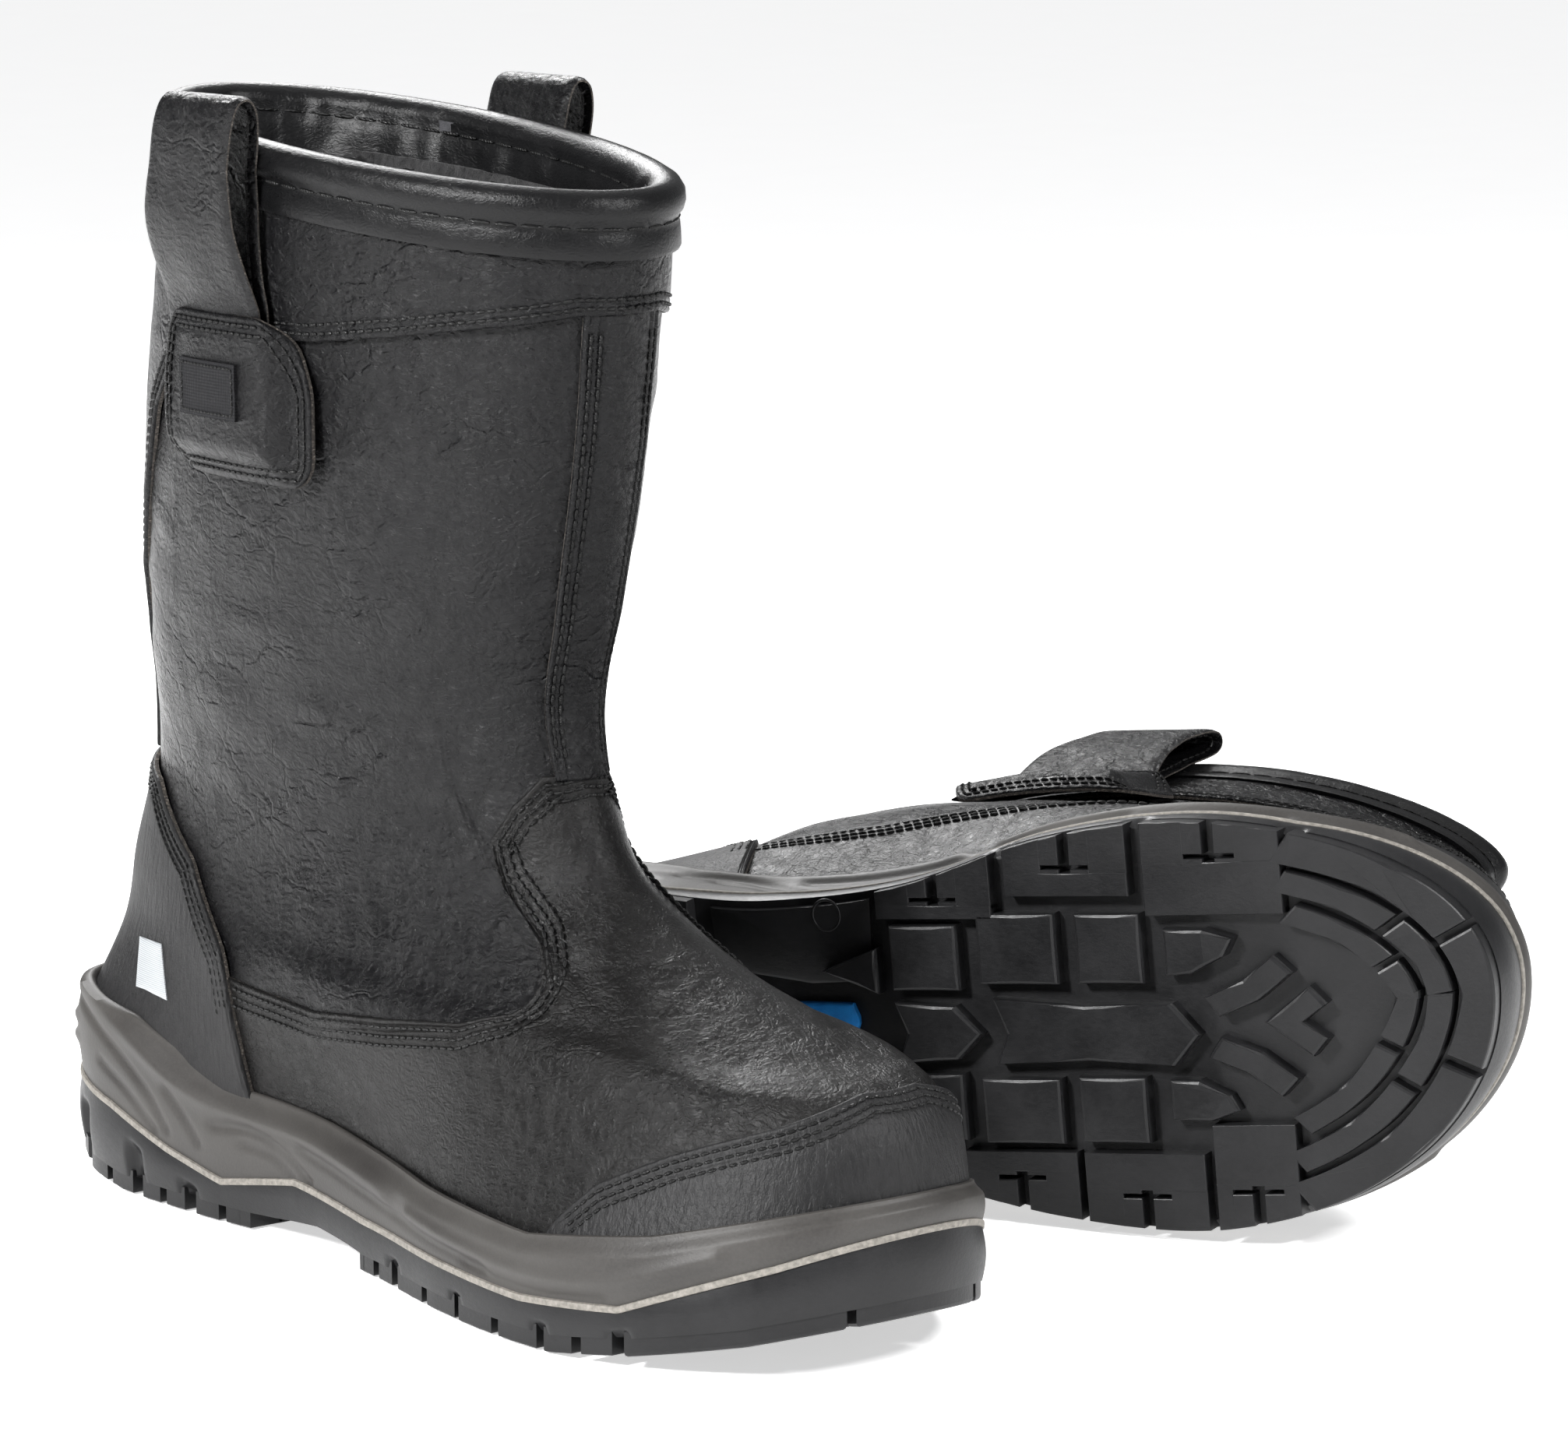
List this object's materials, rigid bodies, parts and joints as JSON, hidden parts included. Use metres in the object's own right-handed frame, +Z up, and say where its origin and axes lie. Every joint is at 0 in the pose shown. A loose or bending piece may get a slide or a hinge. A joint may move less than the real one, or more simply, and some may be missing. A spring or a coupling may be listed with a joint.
{
  "type": "pair of pull-on safety boots",
  "caption": "Fleece-lined pull-on leather work boots with steel toe caps, stitched panels, pull loops and cleated soles; one stands and the other lies on its side.",
  "frame": {"origin": "on the floor, at the centre of the pair's outline seen from above", "axes": "+Z up, +Y toward the standing boot's toe, +X toward the standing boot's outer side"},
  "size_m": [0.441, 0.3622, 0.293],
  "materials": {
    "rubber": "moulded, semi-matt",
    "pu": "moulded foam, satin",
    "steel": "stamped",
    "board": "pressed fibre board",
    "foam": "textile-faced foam",
    "fleece": "fleece pile",
    "leather": "grained, waxed",
    "ribbed_leather": "fine ribbed",
    "binding": "soft, padded",
    "label": "woven and coated, plain",
    "reflective": "reflective print",
    "blue_bar": "moulded inlay"
  },
  "bodies": {
    "right_boot": {"right_back_stay": "leather", "right_collar_binding": "binding", "right_footbed": "foam", "right_front_strip": "leather", "right_heel_counter": "leather", "right_heel_mark": "reflective", "right_heel_stiffener": "board", "right_insole_board": "board", "right_lining": "fleece", "right_midsole": "pu", "right_outsole": "rubber", "right_patch_label": "label", "right_penetration_plate": "steel", "right_quarter_inner": "leather", "right_quarter_outer": "leather", "right_shaft_padding": "foam", "right_strap_patch_inner": "leather", "right_strap_patch_outer": "leather", "right_strap_tail_inner": "leather", "right_strap_tail_outer": "leather", "right_toe_cap": "steel", "right_toe_guard": "ribbed_leather", "right_top_band": "leather", "right_vamp": "leather", "right_waist_bar": "blue_bar"},
    "right_outer_loop": {"right_pull_loop_outer": "leather"},
    "right_inner_loop": {"right_pull_loop_inner": "leather"},
    "left_boot": {"left_back_stay": "leather", "left_collar_binding": "binding", "left_footbed": "foam", "left_front_strip": "leather", "left_heel_counter": "leather", "left_heel_mark": "reflective", "left_heel_stiffener": "board", "left_insole_board": "board", "left_lining": "fleece", "left_midsole": "pu", "left_outsole": "rubber", "left_patch_label": "label", "left_penetration_plate": "steel", "left_pull_loop_outer": "leather", "left_quarter_inner": "leather", "left_quarter_outer": "leather", "left_shaft_padding": "foam", "left_strap_patch_inner": "leather", "left_strap_patch_outer": "leather", "left_strap_tail_inner": "leather", "left_strap_tail_outer": "leather", "left_toe_cap": "steel", "left_toe_guard": "ribbed_leather", "left_top_band": "leather", "left_vamp": "leather", "left_waist_bar": "blue_bar"},
    "left_inner_loop": {"left_pull_loop_inner": "leather"}
  },
  "joints": [
    {"name": "left_boot_lift", "type": "slide", "parent": "right_boot", "child": "left_boot", "axis": [0, 0, 1], "range_m": [0, 0.14]},
    {"name": "right_outer_loop_flop", "type": "hinge", "parent": "right_boot", "child": "right_outer_loop", "pos_m": [0.20645, -0.04036, 0.2395], "axis": [0, 1, 0], "range_deg": [0, 60], "stiffness_Nm_per_rad": 0.1},
    {"name": "right_inner_loop_flop", "type": "hinge", "parent": "right_boot", "child": "right_inner_loop", "pos_m": [0.11285, -0.04036, 0.2395], "axis": [0, -1, 0], "range_deg": [0, 60], "stiffness_Nm_per_rad": 0.1},
    {"name": "left_inner_loop_flop", "type": "hinge", "parent": "left_boot", "child": "left_inner_loop", "pos_m": [-0.13951, -0.10099, 0.06909], "axis": [-0.4063, 0.9098, 0.0849], "range_deg": [0, 60], "stiffness_Nm_per_rad": 0.1}
  ]
}
